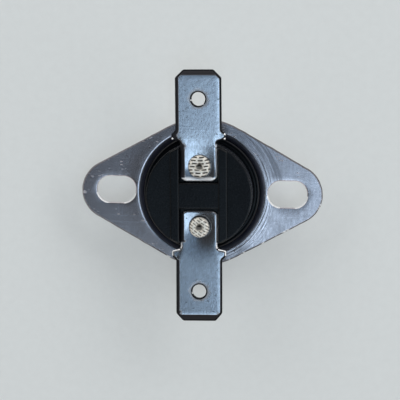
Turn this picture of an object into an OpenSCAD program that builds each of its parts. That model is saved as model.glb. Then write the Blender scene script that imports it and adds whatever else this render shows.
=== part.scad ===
// Bimetal disc temperature switch: a drawn cup with two slotted ears holds a snap disc, and a moulded
// base on top carries two flat push-on terminals, one on each side.
// The frame stands on the middle of the sensing face, with +Z toward the terminals, X along the ears
// and Y along the terminals. All sizes are in millimetres.

/* [Flanged cup] */
// Distance between the centres of the two flange slots
slot_spacing = 23.8; // [23.7:0.1:26]
// Width of each flange slot
slot_width = 3.9; // [3.2:0.05:4.2]
// End to end length of each flange slot
slot_length = 5.45; // [4.4:0.05:5.5]
// Metal left between a slot and the tip of its ear
ear_margin = 2.1; // [1.4:0.05:3]
// Radius of each ear tip
ear_r = 4.15; // [3.6:0.05:4.8]
// Radius of the round middle of the flange
flange_mid_r = 10.2; // [9.8:0.05:11]
// Thickness of the drawn sheet
sheet = 0.5; // [0.4:0.05:0.6]
// Inside diameter of the cup
cup_bore = 15.2; // [14.9:0.05:15.2]
// Height of the flange's upper face above the sensing face
cup_depth = 5; // [4.8:0.1:5.6]
// Radius of the bend from the flange down into the cup
draw_r = 1.3; // [1.2:0.05:1.3]
// Inside radius of the cup's bottom corner
corner_r = 1; // [0.9:0.05:1.1]

/* [Base] */
// Turn of the base and its terminals against the flange, in degrees
base_twist = 1.3; // [0:0.1:4]
// Radius of the base at the rim of its top
base_top_r = 7.2; // [7.1:0.05:7.5]
// Radius of the base's shoulder just above the flange
shoulder_r = 8; // [7.8:0.05:8.1]
// Height of the terminal's upper face above the flange
terminal_rise = 4.5; // [4.3:0.1:5.5]
// Rise of the two D-shaped tops above the terminals
d_rise = 0.1; // [0:0.05:0.4]
// Rise of the rails beside the terminals above the D-shaped tops
rail_rise = 0.4; // [0.2:0.05:0.6]
// Thickness of each rail
rail_wall = 1.2; // [0.9:0.05:1.4]
// Drop of the bridge between the terminals below the rails
bridge_drop = 0.15; // [0.05:0.05:0.3]
// Width of the bridge between the two terminal pockets
bridge_width = 3.54; // [3.2:0.02:3.7]
// Thickness of the base under each terminal
ceiling = 1.5; // [1.2:0.1:1.7]
// Radius of the chamber inside the base
chamber_r = 6.4; // [6.3:0.05:6.6]

/* [Terminals] */
// Width of each push-on tab
tab_width = 6.3; // [6:0.05:6.5]
// Thickness of each terminal
tab_thick = 0.8; // [0.7:0.05:0.9]
// Distance from the middle of the switch to the end of each tab
tab_reach = 17.15; // [16.5:0.05:19]
// Diameter of the detent hole in each tab
tab_hole = 1.9; // [1.6:0.05:2.2]
// Distance from the tab's end to its detent hole
tab_hole_inset = 4; // [3.5:0.05:4.5]
// Length of the corner cut at the tab's end
tab_corner = 1.1; // [0.8:0.05:1.4]
// Length of the bevel on the tab's end
tab_bevel = 0.75; // [0.5:0.05:1]
// Width over the two stop ears
stop_width = 7.4; // [7:0.05:7.8]
// Distance from the middle of the switch to the stop ears
stop_start = 7.6; // [7.5:0.05:8]
// Length of each stop ear along the terminal
stop_length = 0.9; // [0.7:0.05:1.2]
// Width of the neck that lies in the base
neck_width = 5; // [4.6:0.05:5.1]
// Gap between each neck and the pocket's side walls
neck_gap = 0.2; // [0.12:0.02:0.3]
// Gap between the inner end of a terminal and the bridge
end_gap = 0.37; // [0.2:0.01:0.5]
// Radius of the neck's two inner corners
neck_corner = 0.9; // [0.6:0.05:1.2]

/* [Rivets] */
// Distance from the middle of the switch to each rivet
rivet_offset = 4.15; // [4.1:0.05:4.3]
// Sideways shift of both rivets from the middle of the base
rivet_shift = 0.2; // [0:0.02:0.25]
// Diameter of the outer head of the rivet on the arm's side
head_a = 3.1; // [2.8:0.05:3.3]
// Diameter of the outer head of the rivet on the fixed contact's side
head_b = 2.8; // [2.7:0.05:3.1]
// Height of the outer rivet heads
head_rise = 0.6; // [0.4:0.05:0.7]
// Diameter of the rivet shanks
shank = 2.1; // [1.9:0.05:2.2]
// Diameter of the dimple in each outer head
dimple = 1.1; // [0.9:0.05:1.2]
// Depth of the pressed lines on the outer heads
hatch_depth = 0.12; // [0.05:0.01:0.18]
// Distance between the pressed lines
hatch_pitch = 0.45; // [0.4:0.01:0.5]
// Diameter of the inner rivet heads
inner_head = 2.6; // [2.5:0.05:2.65]
// Height of the inner rivet heads
inner_rise = 0.4; // [0.3:0.05:0.45]

/* [Snap disc and push pin] */
// Diameter of the snap disc
disc_d = 14.5; // [14:0.05:14.5]
// Thickness of the snap disc
disc_thick = 0.2; // [0.15:0.01:0.25]
// Dish of the snap disc, from its rim to its middle
disc_dish = 0.2; // [0.16:0.01:0.22]
// Thickness of the guide plate's web
guide_web = 1; // [0.8:0.05:1.05]
// Height of the guide plate's boss above the web
guide_boss = 0.35; // [0.2:0.05:0.4]
// Wall of the guide plate's boss round the pin
boss_wall = 0.85; // [0.6:0.05:0.85]
// Diameter of the push pin
pin_d = 2; // [1.8:0.05:2]

/* [Contacts] */
// Thickness of the spring arm
arm_thick = 0.25; // [0.2:0.01:0.28]
// Width of the spring arm
arm_width = 3; // [2.8:0.05:3.2]
// Distance from the middle of the switch to the contacts
contact_offset = 3.2; // [3.1:0.05:3.35]
// Diameter of the moving contact
contact_d = 2.2; // [2:0.05:2.3]
// Height of each contact button
contact_rise = 0.48; // [0.4:0.02:0.5]
// Thickness of the strip under the fixed contact
strip = 0.5; // [0.4:0.05:0.55]
// Width of the strip under the fixed contact
strip_width = 2.8; // [2.6:0.05:2.9]

/* [Hidden] */
$fn = 96;
// Overlap that joins the solids of one piece, and how far a cut runs past the face that it opens
eps = 0.01;
past = 1;
// Clearance of pieces that fit each other
fit = 0.05;

// Shape of the flange
wall_r = cup_bore / 2;
bend_r = wall_r + draw_r;
bend_z = cup_depth - draw_r;
corner_c = wall_r - corner_r;
ear_tip = slot_spacing / 2 + slot_length / 2 + ear_margin;
ear_c = ear_tip - ear_r;
ear_angle = asin((flange_mid_r - ear_r) / ear_c);

// Heights of the disc and its guide
disc_r = disc_d / 2;
disc_clear = 0.3;
guide_clear = 0.15;
disc_rim_z = sheet + corner_r - sqrt(pow(corner_r, 2) - pow(disc_r - corner_c, 2)) + fit;
disc_mid_z = disc_rim_z - disc_dish;
guide_lip_z = disc_rim_z + disc_thick + fit;
guide_web_z = guide_lip_z + disc_dish + disc_clear;
guide_top = guide_web_z + guide_web;
guide_r = wall_r - guide_clear;
guide_lip = 0.65;
guide_edge = 0.25;
pin_edge = 0.2;

// Heights of the base and the terminals
tab_top = cup_depth + terminal_rise;
pocket_z = tab_top - tab_thick;
d_top = tab_top + d_rise;
rail_top = d_top + rail_rise;
bridge_top = rail_top - bridge_drop;
ceiling_z = pocket_z - ceiling;
skirt_clear = 0.08;
skirt_rise = 0.3;
skirt_r = wall_r - skirt_clear;
shoulder_z = cup_depth + fit;
top_edge = 0.2;
pocket_half = neck_width / 2 + neck_gap;
rail_half = pocket_half + rail_wall;
neck_end = bridge_width / 2 + end_gap;
stop_round = stop_width / 2 - neck_width / 2;
tab_fillet = 0.5;
bevel_angle = 22;

// Edges of the outer rivet heads and lines of their hatching
head_edge = 0.25;
hatch_width = 0.16;

// Heights of the contacts, from the strip's foot up to the arm
foot_gap = 0.3;
foot_z = guide_top + foot_gap;
fixed_face = foot_z + strip + contact_rise;
arm_z = fixed_face + fit + contact_rise;
contact_cap = 0.22;
cap_lap = 0.25;
fixed_lap = 0.1;
pad_drop = 0.95;
pad_back = 0.15;
root_z = arm_z + pad_drop;
pad_z = root_z + arm_thick + fit;
hinge_y = 2.4;
arm_root = 5.65;
arm_lap = 0.2;
arm_tip = contact_offset + contact_d / 2 + arm_lap;
arm_knee = 1.5;
contact_shank = 0.55;
strip_end = rivet_offset + inner_head / 2 + fit + strip;
strip_tip = contact_offset - contact_d / 2 - fixed_lap;
strip_neck = 2.55;

// Names of the pieces, one for each module below

// Flat plate of the flange: a round middle and two round ears joined by tangent sides
module flange_plate() {
    translate([0, 0, cup_depth - sheet]) {
        cylinder(r = flange_mid_r, h = sheet);
        for (side = [-1, 1])
            translate([side * ear_c, 0, 0])
                cylinder(r = ear_r, h = sheet);
        linear_extrude(height = sheet)
            polygon([
                [flange_mid_r * sin(ear_angle), flange_mid_r * cos(ear_angle)],
                [ear_c + ear_r * sin(ear_angle), ear_r * cos(ear_angle)],
                [ear_c + ear_r * sin(ear_angle), -ear_r * cos(ear_angle)],
                [flange_mid_r * sin(ear_angle), -flange_mid_r * cos(ear_angle)],
                [-flange_mid_r * sin(ear_angle), -flange_mid_r * cos(ear_angle)],
                [-ear_c - ear_r * sin(ear_angle), -ear_r * cos(ear_angle)],
                [-ear_c - ear_r * sin(ear_angle), ear_r * cos(ear_angle)],
                [-flange_mid_r * sin(ear_angle), flange_mid_r * cos(ear_angle)]
            ]);
    }
}

// Slot with round ends through one ear
module flange_slot(side) {
    reach = slot_length / 2 - slot_width / 2;
    translate([side * slot_spacing / 2, 0, cup_depth - sheet - past]) {
        for (end = [-1, 1])
            translate([end * reach, 0, 0])
                cylinder(d = slot_width, h = sheet + 2 * past);
        translate([-reach, -slot_width / 2, 0])
            cube([2 * reach, slot_width, sheet + 2 * past]);
    }
}

// Quarter ring of sheet that turns the flange down into the cup's wall
module draw_bend() {
    rotate_extrude()
        intersection() {
            difference() {
                translate([bend_r, bend_z])
                    circle(r = draw_r);
                translate([bend_r, bend_z])
                    circle(r = draw_r - sheet);
            }
            translate([wall_r, bend_z])
                square([draw_r, draw_r]);
        }
}

// Quarter ring of sheet between the cup's wall and its floor
module cup_corner() {
    rotate_extrude()
        intersection() {
            difference() {
                translate([corner_c, sheet + corner_r])
                    circle(r = corner_r + sheet);
                translate([corner_c, sheet + corner_r])
                    circle(r = corner_r);
            }
            translate([corner_c, 0])
                square([corner_r + sheet, corner_r + sheet]);
        }
}

// Drawn cup: flat sensing floor, round corner, wall, bend and flange from one sheet
module flanged_cup() {
    color([0.62, 0.64, 0.68])
        union() {
            difference() {
                flange_plate();
                translate([0, 0, cup_depth - sheet - past])
                    cylinder(r = bend_r, h = sheet + 2 * past);
                flange_slot(-1);
                flange_slot(1);
            }
            draw_bend();
            translate([0, 0, sheet + corner_r])
                difference() {
                    cylinder(r = wall_r + sheet, h = bend_z - sheet - corner_r);
                    translate([0, 0, -past])
                        cylinder(r = wall_r, h = bend_z + 2 * past);
                }
            cup_corner();
            cylinder(r = corner_c, h = sheet);
        }
}

// Outer shape of the base: a skirt in the cup, a shoulder above the flange and a side that leans in
module base_outside(top) {
    rotate_extrude()
        polygon([
            [0, guide_top],
            [skirt_r, guide_top],
            [skirt_r, bend_z + skirt_rise],
            [shoulder_r, shoulder_z],
            [base_top_r + top_edge, top - top_edge],
            [base_top_r, top],
            [0, top]
        ]);
}

// Pocket for one terminal, open at the side of the base
module terminal_pocket(side) {
    width = 2 * pocket_half;
    low = side > 0 ? bridge_width / 2 : -bridge_width / 2 - 2 * tab_reach;
    translate([-pocket_half, low, pocket_z])
        cube([width, 2 * tab_reach, rail_top]);
}

// Chamber under the ceiling, with a pad left standing that carries the root of the arm
module base_chamber() {
    difference() {
        translate([0, 0, guide_top - past])
            cylinder(r = chamber_r, h = ceiling_z - guide_top + past);
        translate([-pocket_half, hinge_y + pad_back, pad_z])
            cube([2 * pocket_half, chamber_r, ceiling_z]);
    }
}

// Moulded base: two D-shaped tops, two rails and a bridge that form an H, two pockets and the chamber
module base() {
    color([0.07, 0.08, 0.1])
        rotate([0, 0, base_twist])
            difference() {
                union() {
                    base_outside(d_top);
                    intersection() {
                        base_outside(rail_top);
                        translate([-rail_half, -shoulder_r, pocket_z])
                            cube([2 * rail_half, 2 * shoulder_r, rail_top]);
                    }
                }
                terminal_pocket(-1);
                terminal_pocket(1);
                translate([-pocket_half, -bridge_width, bridge_top])
                    cube([2 * pocket_half, 2 * bridge_width, rail_top]);
                base_chamber();
                for (side = [-1, 1])
                    translate([rivet_shift, side * rivet_offset, guide_top])
                        cylinder(d = shank + 2 * fit, h = rail_top);
            }
}

// Flat terminal that points along +Y: tab, two stop ears and a neck with round corners
module terminal(shift) {
    half = tab_width / 2;
    neck = neck_width / 2;
    stop = stop_width / 2;
    stop_end = stop_start + stop_length;
    difference() {
        union() {
            linear_extrude(height = tab_thick)
                polygon([
                    [-half, stop_start],
                    [half, stop_start],
                    [half, tab_reach - tab_corner],
                    [half - tab_corner, tab_reach],
                    [tab_corner - half, tab_reach],
                    [-half, tab_reach - tab_corner]
                ]);
            translate([-stop, stop_start - stop_round, 0])
                cube([2 * stop, stop_length + stop_round, tab_thick]);
            translate([-half - tab_fillet, stop_end - eps, 0])
                cube([tab_width + 2 * tab_fillet, tab_fillet, tab_thick]);
            translate([-neck, neck_end + neck_corner, 0])
                cube([neck_width, stop_start - neck_end - neck_corner, tab_thick]);
            translate([neck_corner - neck, neck_end, 0])
                cube([neck_width - 2 * neck_corner, stop_start - neck_end, tab_thick]);
            for (side = [-1, 1])
                translate([side * (neck - neck_corner), neck_end + neck_corner, 0])
                    cylinder(r = neck_corner, h = tab_thick);
        }
        for (side = [-1, 1]) {
            translate([side * stop, stop_start - stop_round, -past])
                cylinder(r = stop_round, h = tab_thick + 2 * past);
            translate([side * (half + tab_fillet), stop_end + tab_fillet, -past])
                cylinder(r = tab_fillet, h = tab_thick + 2 * past);
        }
        translate([0, tab_reach - tab_hole_inset, -past])
            cylinder(d = tab_hole, h = tab_thick + 2 * past);
        translate([shift, rivet_offset, -past])
            cylinder(d = shank + 2 * fit, h = tab_thick + 2 * past);
        for (face = [0, 1])
            translate([0, tab_reach - tab_bevel, face * tab_thick])
                rotate([face > 0 ? -bevel_angle : bevel_angle, 0, 0])
                    translate([-half - past, 0, face > 0 ? 0 : -tab_thick])
                        cube([tab_width + 2 * past, 2 * tab_bevel, tab_thick]);
    }
}

// Terminal that feeds the spring arm
module terminal_a() {
    color([0.58, 0.63, 0.7])
        rotate([0, 0, base_twist])
            translate([0, 0, pocket_z])
                terminal(rivet_shift);
}

// Terminal that feeds the fixed contact
module terminal_b() {
    color([0.58, 0.63, 0.7])
        rotate([0, 0, base_twist + 180])
            translate([0, 0, pocket_z])
                terminal(-rivet_shift);
}

// Rivet on the Z axis: hatched outer head with a dimple, shank, and a plain head that ends at low
module rivet(head, low, crossed) {
    turns = crossed ? [0, 90] : [0];
    head_side = head_rise * 3 / 5;
    hatch_z = tab_top + head_rise - hatch_depth;
    difference() {
        union() {
            translate([0, 0, low])
                cylinder(d = inner_head, h = inner_rise);
            translate([0, 0, low])
                cylinder(d = shank, h = tab_top - low + eps);
            translate([0, 0, tab_top])
                cylinder(d = head, h = head_side);
            translate([0, 0, tab_top + head_side])
                cylinder(d1 = head, d2 = head - 2 * head_edge, h = head_rise - head_side);
        }
        translate([0, 0, tab_top + head_rise / 2])
            cylinder(d = dimple, h = head_rise);
        for (turn = turns)
            for (line = [-3 : 3])
                rotate([0, 0, turn])
                    translate([-head, line * hatch_pitch - hatch_width / 2, hatch_z])
                        cube([2 * head, hatch_width, past]);
    }
}

// Rivet through terminal_a, the base and the root of the arm
module rivet_a() {
    color([0.86, 0.84, 0.78])
        rotate([0, 0, base_twist])
            translate([rivet_shift, rivet_offset, 0])
                rivet(head_a, root_z - fit - inner_rise, false);
}

// Rivet through terminal_b, the base and the strip of the fixed contact
module rivet_b() {
    color([0.86, 0.84, 0.78])
        rotate([0, 0, base_twist])
            translate([rivet_shift, -rivet_offset, 0])
                rivet(head_b, ceiling_z - strip - inner_rise, true);
}

// Snap disc at rest: dished toward the sensing face, with its rim on the cup's round corner
module bimetal_disc() {
    steps = 6;
    low = [for (i = [0 : steps])
        [disc_r * i / steps, disc_mid_z + disc_dish * pow(i / steps, 2)]];
    high = [for (i = [steps : -1 : 0])
        [disc_r * i / steps, disc_mid_z + disc_thick + disc_dish * pow(i / steps, 2)]];
    color([0.75, 0.68, 0.55])
        rotate_extrude()
            polygon(concat(low, high));
}

// Guide plate: a lip over the disc's rim, a flat web and a boss with the pin's bore
module pin_guide() {
    bore = pin_d / 2 + fit;
    boss = bore + boss_wall;
    color([0.55, 0.33, 0.2])
        rotate_extrude()
            polygon([
                [bore, guide_web_z],
                [guide_r - guide_lip, guide_web_z],
                [guide_r - guide_lip, guide_lip_z],
                [guide_r - guide_edge, guide_lip_z],
                [guide_r, guide_lip_z + guide_edge],
                [guide_r, guide_top],
                [boss, guide_top],
                [boss, guide_top + guide_boss],
                [bore, guide_top + guide_boss]
            ]);
}

// Push pin that stands on the disc's middle and ends just under the arm
module push_pin() {
    low = disc_mid_z + disc_thick + fit;
    high = arm_z - fit;
    color([0.93, 0.91, 0.86])
        rotate_extrude()
            polygon([
                [0, low],
                [pin_d / 2 - pin_edge, low],
                [pin_d / 2, low + pin_edge],
                [pin_d / 2, high - pin_edge],
                [pin_d / 2 - pin_edge, high],
                [0, high]
            ]);
}

// Spring arm: root under the pad, a slanted step down, then a flat blade over the pin
module contact_arm() {
    color([0.8, 0.55, 0.3])
        rotate([0, 0, base_twist])
            translate([rivet_shift, 0, 0])
                difference() {
                    rotate([90, 0, 90])
                        translate([0, 0, -arm_width / 2])
                            linear_extrude(height = arm_width)
                                polygon([
                                    [-arm_tip, arm_z],
                                    [arm_knee, arm_z],
                                    [hinge_y, root_z],
                                    [arm_root, root_z],
                                    [arm_root, root_z + arm_thick],
                                    [hinge_y - arm_thick / 2, root_z + arm_thick],
                                    [arm_knee - arm_thick / 2, arm_z + arm_thick],
                                    [-arm_tip, arm_z + arm_thick]
                                ]);
                    translate([0, rivet_offset, root_z - arm_thick])
                        cylinder(d = shank + 4 * fit, h = 3 * arm_thick);
                    translate([0, -contact_offset, arm_z - arm_thick])
                        cylinder(r = contact_shank, h = 3 * arm_thick);
                }
}

// Moving contact: a button under the arm, a shank through it and a closing cap
module moving_contact() {
    color([0.88, 0.88, 0.86])
        rotate([0, 0, base_twist])
            translate([rivet_shift, -contact_offset, 0]) {
                translate([0, 0, arm_z - contact_rise])
                    cylinder(d = contact_d, h = contact_rise);
                translate([0, 0, arm_z - eps])
                    cylinder(r = contact_shank, h = arm_thick + 2 * eps);
                translate([0, 0, arm_z + arm_thick])
                    cylinder(r = contact_shank + cap_lap, h = contact_cap);
            }
}

// Strip bent to a C: held under the ceiling by its rivet, down, and back under the arm's end
module fixed_bracket() {
    color([0.78, 0.62, 0.32])
        rotate([0, 0, base_twist])
            translate([rivet_shift, 0, 0])
                difference() {
                    rotate([90, 0, 90])
                        translate([0, 0, -strip_width / 2])
                            linear_extrude(height = strip_width)
                                polygon([
                                    [-strip_tip, foot_z],
                                    [-strip_end, foot_z],
                                    [-strip_end, ceiling_z],
                                    [-strip_neck, ceiling_z],
                                    [-strip_neck, ceiling_z - strip],
                                    [strip - strip_end, ceiling_z - strip],
                                    [strip - strip_end, foot_z + strip],
                                    [-strip_tip, foot_z + strip]
                                ]);
                    translate([0, -rivet_offset, ceiling_z - 2 * strip])
                        cylinder(d = shank + 2 * fit, h = 3 * strip);
                    translate([0, -contact_offset, foot_z - past])
                        cylinder(r = contact_shank, h = strip + 2 * past);
                }
}

// Fixed contact: a button on the strip's foot with a shank set flush below
module fixed_contact() {
    color([0.88, 0.88, 0.86])
        rotate([0, 0, base_twist])
            translate([rivet_shift, -contact_offset, 0]) {
                translate([0, 0, foot_z + strip])
                    cylinder(d = contact_d + 2 * fixed_lap, h = contact_rise);
                translate([0, 0, foot_z])
                    cylinder(r = contact_shank, h = strip + eps);
            }
}

flanged_cup();
base();
terminal_a();
terminal_b();
rivet_a();
rivet_b();
bimetal_disc();
pin_guide();
push_pin();
contact_arm();
moving_contact();
fixed_bracket();
fixed_contact();
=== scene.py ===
"""Looks of a bimetal disc temperature switch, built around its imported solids.

Shapes are worked out in millimetres in the part's own frame: X along the two ears, Y along the two
terminals, Z up from the sensing face. They are turned to metres when they become a mesh.
"""
import math

import bpy
import numpy as np
from bpy.props import FloatProperty, FloatVectorProperty, PointerProperty
from mathutils import Matrix, Vector
from mathutils.geometry import delaunay_2d_cdt


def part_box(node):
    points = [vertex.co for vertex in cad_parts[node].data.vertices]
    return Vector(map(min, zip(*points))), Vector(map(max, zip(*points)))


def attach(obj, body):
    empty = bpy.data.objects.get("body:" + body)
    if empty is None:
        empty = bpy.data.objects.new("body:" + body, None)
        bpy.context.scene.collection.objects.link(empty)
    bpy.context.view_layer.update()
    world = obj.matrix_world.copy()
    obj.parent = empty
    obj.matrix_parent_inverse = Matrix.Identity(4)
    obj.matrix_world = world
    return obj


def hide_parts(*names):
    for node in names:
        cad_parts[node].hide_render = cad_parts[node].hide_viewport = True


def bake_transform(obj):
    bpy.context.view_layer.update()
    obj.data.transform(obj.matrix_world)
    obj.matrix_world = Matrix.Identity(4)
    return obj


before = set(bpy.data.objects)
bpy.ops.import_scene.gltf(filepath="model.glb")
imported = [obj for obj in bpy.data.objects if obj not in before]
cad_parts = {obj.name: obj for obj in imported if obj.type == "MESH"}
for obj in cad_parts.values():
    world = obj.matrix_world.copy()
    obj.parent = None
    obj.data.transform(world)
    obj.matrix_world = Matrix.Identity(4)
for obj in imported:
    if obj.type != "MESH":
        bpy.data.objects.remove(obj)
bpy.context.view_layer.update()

bl_info = {
    "name": "Bimetal temperature switch",
    "version": (1, 0, 0),
    "blender": (4, 5, 0),
    "location": "3D View > Sidebar > Switch",
    "description": "Dresses the packed solids of a bimetal disc temperature switch",
    "category": "Object",
}

MM = 0.001
BASE_TURN = math.radians(1.3)
CUP_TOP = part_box("flanged_cup")[1].z / MM
TAB_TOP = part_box("terminal_a")[1].z / MM
RAIL_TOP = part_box("base")[1].z / MM
BASE_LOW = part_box("base")[0].z / MM
TAB_THICK = 0.8
RIVET_A = (0.11, 3.95)
RIVET_B = (0.07, -4.37)
# Colour of the painted highlights: white glints painted on the terminals, the slot rims and the flange chips.
PAINTED_GLINT_WHITE = (0.97, 0.97, 0.97)


def length(name, text, mm):
    """A length property of up to 60 mm, whose default is given in millimetres."""
    return FloatProperty(name=name, description=text, default=mm * MM, min=0.0, max=60 * MM,
                         subtype="DISTANCE", unit="LENGTH", precision=5)


def tint(name, text, rgb):
    """A colour property."""
    return FloatVectorProperty(name=name, description=text, default=rgb, size=3, min=0.0, max=1.0,
                               subtype="COLOR")


def share(name, text, value, high=50.0):
    """A plain number property."""
    return FloatProperty(name=name, description=text, default=value, min=0.0, max=high, subtype="FACTOR")


class SwitchSizes(bpy.types.PropertyGroup):
    """Sizes of the dressed pieces that a user would change."""
    flange_roll: length("Flange edge roll", "Width of the rounded edge of the punched flange", 0.16)
    ear_sag: length("Ear sag", "How far the ear at the low X end is bent down at its tip", 0.10)
    slot_corner: length("Slot corner", "Corner radius of the two mounting slots", 1.75)
    tab_roll: length("Terminal edge roll", "Width of the punched edge's roll on a terminal", 0.36)
    tab_roll_drop: length("Terminal roll drop", "Depth of the punched edge's roll on a terminal", 0.16)
    rivet_dish: length("Rivet dish", "How far the terminal is pressed in round its rivet", 0.28)
    base_round: length("Base edge round", "Radius of the moulded base's edges", 0.12)
    groove_depth: length("Rivet groove depth", "Depth of the grooves pressed into a rivet head", 0.09)
    groove_pitch: length("Rivet groove pitch", "Distance between two grooves of a rivet head", 0.43)


class SwitchColours(bpy.types.PropertyGroup):
    """Colours of the finishes and the stage."""
    aluminium: tint("Aluminium", "Drawn aluminium of the flanged cup", (0.64, 0.605, 0.635))
    plate: tint("Plating", "Dull plating of the terminals", (0.57, 0.605, 0.66))
    rivet: tint("Rivet", "Warm plating of the rivets", (0.91, 0.88, 0.80))
    phenolic: tint("Base", "Black moulding of the base", (0.0013, 0.0018, 0.0026))
    room: tint("Room", "Even light from the room", (1.0, 0.93, 0.88))
    paper: tint("Floor", "Pale paper that the part stands on", (0.70, 0.732, 0.732))


class SwitchLight(bpy.types.PropertyGroup):
    """Brightness of the studio's lamps and room."""
    right: share("Right", "Soft box beside the right ear", 2.4)
    far_right: share("Far right", "Soft box at the far right", 5.9)
    far_side: share("Far side", "Soft box behind the far terminal", 2.5)
    far_left: share("Far left", "Soft box at the far left", 4.9)
    left: share("Left", "Soft box beside the left ear", 0.9)
    near: share("Near", "Near soft boxes, which only metal mirrors", 0.9)
    mirrored: share("Mirrored", "Highest brightness of a soft box as metal mirrors it", 1.8)
    overhead: share("Overhead", "Panel overhead", 1.4)
    zenith: share("Zenith", "Dim panel at the zenith", 0.3)
    paleness: share("Paleness", "Share of the floor that stays pale where the light doesn't reach", 0.45, 1.0)
    horizon: share("Horizon", "Room near the floor", 0.35, 5.0)
    room: share("Room", "Room overhead", 0.035, 5.0)


# Surfaces


class Shell:
    """Rows of points and the faces between them, gathered into one mesh."""

    def __init__(self):
        self.rows, self.quads, self.tris, self.count = [], [], [], 0

    def row(self, xy, z, mark=0.0):
        """Adds a row of points and returns their numbers.

        Marks for the finish: -1 is a painted glint, 0 plain, up to 1 a cut edge partly painted shade, dark
        grooves, painted dimple shade or gloss, up to 2 painted black shade.
        """
        self.rows.append(np.column_stack([xy, np.broadcast_to(z, len(xy)), np.broadcast_to(mark, len(xy))]))
        self.count += len(xy)
        return np.arange(self.count - len(xy), self.count)

    def band(self, low, high):
        """Closed band of quads from one row up to the next; rows that run counter-clockwise face out."""
        self.quads.append(np.column_stack([low, np.roll(low, -1), np.roll(high, -1), high]))

    def cap(self, row, z, upward, centre=(0.0, 0.0)):
        """Closes a row with triangles to one point."""
        tip = self.row(np.array([centre]), z)
        a, b = (row, np.roll(row, -1)) if upward else (np.roll(row, -1), row)
        self.tris.append(np.column_stack([a, b, np.full(len(row), tip[0])]))

    def lathe(self, row, steps, centre=(0.0, 0.0), marks=0.0, clockwise=False, flip=False):
        """Carries a row through (radius, height) steps round an upright axis; flip turns the faces over."""
        for (radius, height), mark in zip(steps, np.broadcast_to(marks, len(steps))):
            onward = self.row(circle(*centre, radius, len(row), clockwise), height, mark)
            self.band(*((onward, row) if flip else (row, onward)))
            row = onward
        return row

    def piece(self, name, material, nodes, body="housing", turn=0.0, sharp=34.0):
        """Turns the rows about Z, scales them to metres and makes the object; it rides on a named body."""
        rows = np.vstack(self.rows)
        xyz, mark = rows[:, :3], rows[:, 3]
        c, s = math.cos(turn), math.sin(turn)
        xyz = xyz @ np.array([[c, s, 0], [-s, c, 0], [0, 0, 1]]) * MM
        faces = [f for part in (*self.quads, *self.tris) for f in part.tolist()]
        mesh = bpy.data.meshes.new(name)
        mesh.from_pydata(xyz.tolist(), [], faces)
        mesh.polygons.foreach_set("use_smooth", np.ones(len(faces), bool))
        mesh.attributes.new("mark", "FLOAT", "POINT").data.foreach_set("value", mark.astype(np.float32))
        mesh.set_sharp_from_angle(angle=math.radians(sharp))
        mesh.materials.append(material)
        mesh.update()
        obj = bpy.data.objects.new(name, mesh)
        bpy.context.scene.collection.objects.link(obj)
        if body:
            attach(obj, body)
        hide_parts(*nodes)
        return obj


def outline(corners, inset, arc, run):
    """Closed row round a polygon with rounded corners (x, y, radius), moved inwards by inset.

    A corner's vertex moves along (n0 + n1) / (1 + n0.n1) times the inset, n0 and n1 being the inward
    normals of its two edges. Its arc swings between them about a centre one radius away; the radius
    shrinks by the inset at an outer corner and grows at an inner one. Straight runs join the arcs, each
    bowed out by a bulge of 3 micrometres, so that no three of its points are in line.
    """
    least_radius, bulge = 0.05, 0.003
    corners = np.asarray(corners, float)
    at, radius = corners[:, :2], corners[:, 2]
    before, after = at - np.roll(at, 1, 0), np.roll(at, -1, 0) - at
    before /= np.linalg.norm(before, axis=1)[:, None]
    after /= np.linalg.norm(after, axis=1)[:, None]
    n0 = np.column_stack([-before[:, 1], before[:, 0]])
    n1 = np.column_stack([-after[:, 1], after[:, 0]])
    dot = np.clip((n0 * n1).sum(1), -0.9999, 0.999999)
    side = np.where(before[:, 0] * after[:, 1] - before[:, 1] * after[:, 0] >= 0, 1.0, -1.0)
    bend = side * np.maximum(radius - side * inset, least_radius)
    mid = (n0 + n1) / (1 + dot)[:, None]
    centre = at + mid * inset + mid * bend[:, None]
    angle = np.arccos(dot)[:, None]
    t = np.linspace(0, 1, arc)[None, :]
    swing = (np.sin((1 - t) * angle)[..., None] * n0[:, None] + np.sin(t * angle)[..., None] * n1[:, None])
    arcs = centre[:, None] - bend[:, None, None] * swing / np.sin(angle)[..., None]
    start, stop = arcs[:, -1], np.roll(arcs[:, 0], -1, 0)
    u = (np.arange(1, run + 1) / (run + 1))[None, :, None]
    runs = start[:, None] * (1 - u) + stop[:, None] * u - 4 * bulge * u * (1 - u) * n1[:, None]
    return np.concatenate([arcs, runs], 1).reshape(-1, 2)


def circle(x, y, radius, count, clockwise=False):
    """Row of points on a circle: centre plus radius times (cos a, sin a)."""
    a = np.arange(count) * (2 * math.pi / count) * (-1 if clockwise else 1)
    return np.column_stack([x + radius * np.cos(a), y + radius * np.sin(a)])


def inside(points, loops):
    """Whether a ray along +X from each point crosses the loops an odd number of times."""
    hits = np.zeros(len(points), int)
    for loop in loops:
        a, b = loop[None], np.roll(loop, -1, 0)[None]
        p = points[:, None]
        over = (a[..., 1] > p[..., 1]) != (b[..., 1] > p[..., 1])
        rise = np.where(over, b[..., 1] - a[..., 1], 1.0)
        x = a[..., 0] + (p[..., 1] - a[..., 1]) * (b[..., 0] - a[..., 0]) / rise
        hits += (over & (p[..., 0] < x)).sum(1)
    return hits % 2 == 1


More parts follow.
